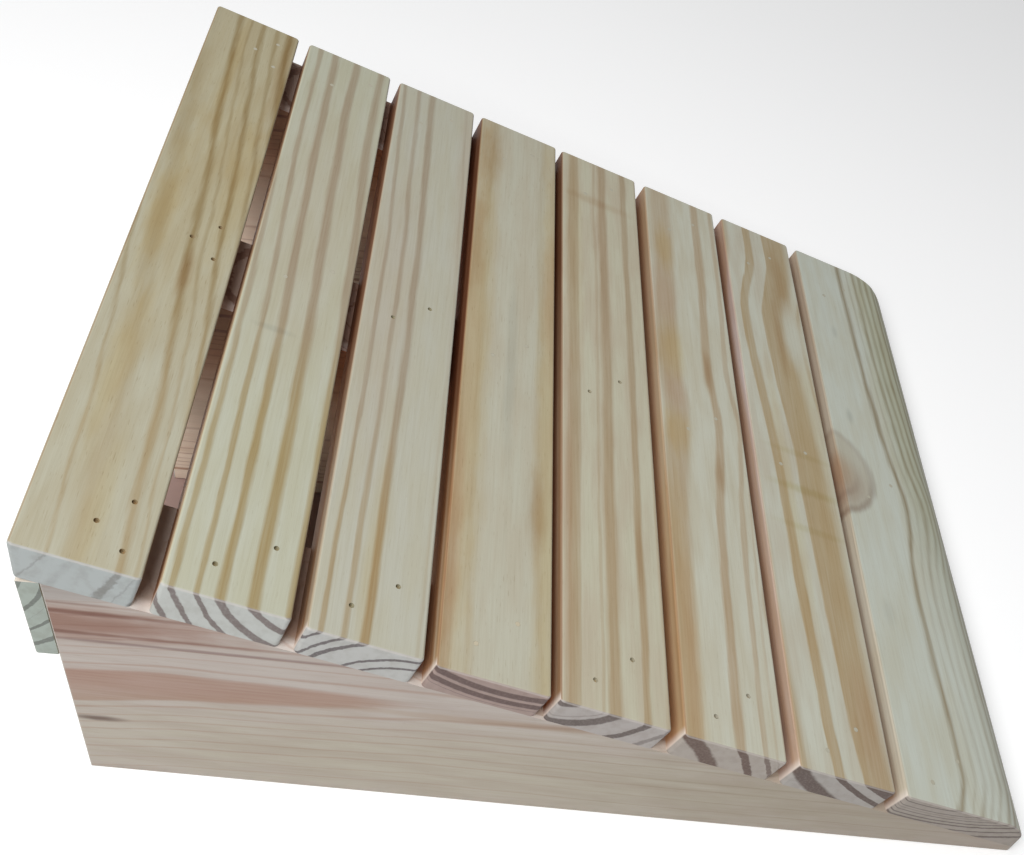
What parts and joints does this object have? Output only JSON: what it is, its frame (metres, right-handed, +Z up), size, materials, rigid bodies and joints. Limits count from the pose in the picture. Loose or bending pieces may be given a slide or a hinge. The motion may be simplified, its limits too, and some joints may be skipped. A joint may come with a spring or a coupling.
{
  "type": "slant board",
  "caption": "Fixed-angle wooden slant board for calf stretching: slatted sloping deck nailed on solid wedges, with a rail across the high back edge.",
  "frame": {"origin": "on the floor, below the middle of the board's box", "axes": "+X forward to the low front edge, +Y to the right of a person who stands on the board and faces its high end, +Z up"},
  "size_m": [0.4384, 0.387, 0.1562],
  "materials": {
    "slat_pine": "sanded pine, clear matt coat",
    "wedge_pine": "planed pine, clear matt coat",
    "rail_pine": "planed pine, clear matt coat",
    "nail_steel": "dull steel wire",
    "wood_filler": "sanded wood filler"
  },
  "bodies": {
    "root": {"slat_1": "slat_pine", "slat_2": "slat_pine", "slat_3": "slat_pine", "slat_4": "slat_pine", "slat_5": "slat_pine", "slat_6": "slat_pine", "slat_7": "slat_pine", "slat_8": "slat_pine", "left_wedge": "wedge_pine", "centre_wedge": "wedge_pine", "right_wedge": "wedge_pine", "back_rail": "rail_pine", "slat_1_nails": "nail_steel", "slat_2_nails": "nail_steel", "slat_3_nails": "nail_steel", "slat_4_nails": "nail_steel", "slat_5_nails": "nail_steel", "slat_6_nails": "nail_steel", "slat_7_nails": "nail_steel", "slat_8_nails": "nail_steel", "rail_nails": "nail_steel", "filler_plugs": "wood_filler"}
  },
  "joints": []
}
